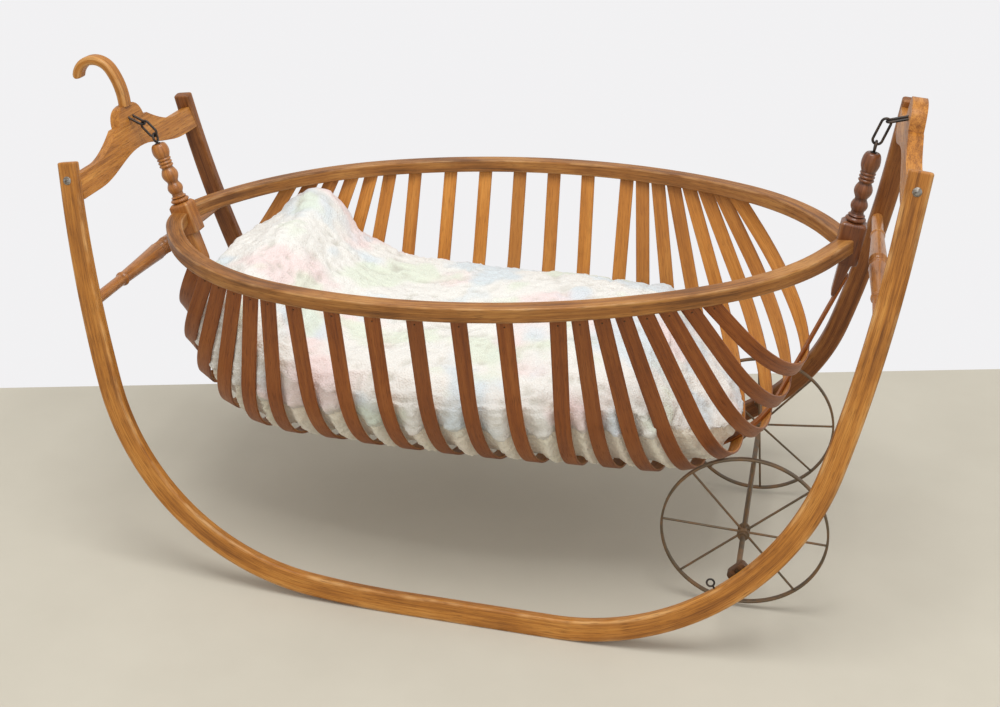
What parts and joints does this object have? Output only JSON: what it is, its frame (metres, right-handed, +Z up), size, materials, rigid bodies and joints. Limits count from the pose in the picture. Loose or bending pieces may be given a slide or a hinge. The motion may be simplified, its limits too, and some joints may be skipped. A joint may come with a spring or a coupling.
{
  "type": "hanging cradle",
  "caption": "Bentwood cradle: a slatted oval basket hung by iron links between bent runners, with iron wheels under its foot end.",
  "frame": {"origin": "on the floor under the middle of the cradle's bounding box", "axes": "+X toward the foot end with the wheels, -Y toward the near side, +Z up"},
  "size_m": [1.4709, 0.7772, 0.8539],
  "materials": {
    "oak": "satin",
    "turned_wood": "satin",
    "slat_wood": "satin",
    "dark_iron": "rough",
    "wheel_iron": "rough",
    "steel": "worn",
    "bedding": "matte"
  },
  "bodies": {
    "frame": {"near_runner": "oak", "far_runner": "oak", "head_crest_rail": "oak", "foot_crest_rail": "oak", "lifting_handle": "oak", "head_stretcher": "turned_wood", "foot_stretcher": "turned_wood", "crest_screws": "steel", "head_staple": "dark_iron", "foot_staple": "dark_iron", "axle_blocks": "oak", "axle": "wheel_iron", "axle_collars": "wheel_iron", "runner_screw_eye": "dark_iron"},
    "near_wheel": {"near_wheel_rim": "wheel_iron", "near_wheel_spokes": "wheel_iron", "near_wheel_hub": "wheel_iron"},
    "far_wheel": {"far_wheel_rim": "wheel_iron", "far_wheel_spokes": "wheel_iron", "far_wheel_hub": "wheel_iron"},
    "head_link": {"head_link": "dark_iron"},
    "foot_link": {"foot_link": "dark_iron"},
    "basket": {"head_hanger": "turned_wood", "foot_hanger": "turned_wood", "head_eye": "dark_iron", "foot_eye": "dark_iron", "wire_hook": "dark_iron", "near_rim": "oak", "far_rim": "oak", "keel_strip": "slat_wood", "slat_01": "slat_wood", "slat_02": "slat_wood", "slat_03": "slat_wood", "slat_04": "slat_wood", "slat_05": "slat_wood", "slat_06": "slat_wood", "slat_07": "slat_wood", "slat_08": "slat_wood", "slat_09": "slat_wood", "slat_10": "slat_wood", "slat_11": "slat_wood", "slat_12": "slat_wood", "slat_13": "slat_wood", "slat_14": "slat_wood", "slat_15": "slat_wood", "slat_16": "slat_wood", "slat_17": "slat_wood", "slat_18": "slat_wood", "slat_19": "slat_wood", "slat_20": "slat_wood", "rim_tacks": "dark_iron", "keel_tacks": "dark_iron", "quilt": "bedding"}
  },
  "joints": [
    {"name": "swing", "type": "hinge", "parent": "frame", "child": "head_link", "pos_m": [-0.60935, 0, 0.70127], "axis": [0.9961, 0, 0.0888], "range_deg": [-2.3, 2.3]},
    {"name": "foot_swing", "type": "hinge", "parent": "frame", "child": "foot_link", "pos_m": [0.67142, 0, 0.81541], "axis": [0.9961, 0, 0.0888], "range_deg": [-2.3, 2.3]},
    {"name": "basket_rock", "type": "hinge", "parent": "head_link", "child": "basket", "pos_m": [-0.58913, 0, 0.68174], "axis": [0.997, 0, 0.077], "range_deg": [-0.9, 0.9]},
    {"name": "near_wheel_spin", "type": "hinge", "parent": "frame", "child": "near_wheel", "pos_m": [0.5231, -0.197, 0.1493], "axis": [0, 1, 0], "continuous": true},
    {"name": "far_wheel_spin", "type": "hinge", "parent": "frame", "child": "far_wheel", "pos_m": [0.5231, 0.197, 0.1493], "axis": [0, 1, 0], "continuous": true}
  ],
  "couplings": [
    {"joint": "foot_swing", "follows": "swing", "ratio": 1}
  ]
}
